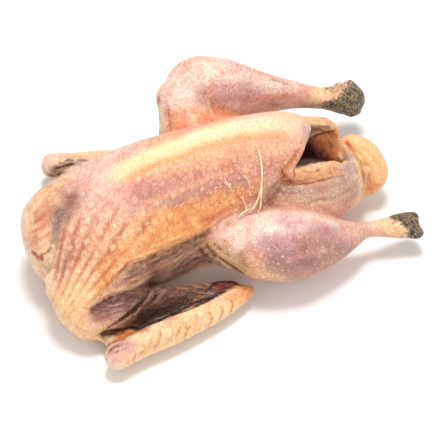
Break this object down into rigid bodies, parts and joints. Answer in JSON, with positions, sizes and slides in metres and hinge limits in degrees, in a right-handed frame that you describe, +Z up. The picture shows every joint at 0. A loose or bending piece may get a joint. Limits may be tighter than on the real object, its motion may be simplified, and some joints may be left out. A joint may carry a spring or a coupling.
{
  "type": "whole guinea fowl",
  "caption": "Whole raw guinea fowl, plucked and drawn, lying on its back with wings folded, legs cut at the hock and an open body cavity.",
  "frame": {"origin": "on the surface the bird lies on, under the middle of its box", "axes": "+X towards the tail, +Y towards the side away from the viewer, +Z up through the breastbone"},
  "size_m": [0.2368, 0.191, 0.0926],
  "materials": {
    "skin": "moist raw poultry skin, satin"
  },
  "bodies": {
    "root": {"guinea_fowl": "skin"}
  },
  "joints": []
}
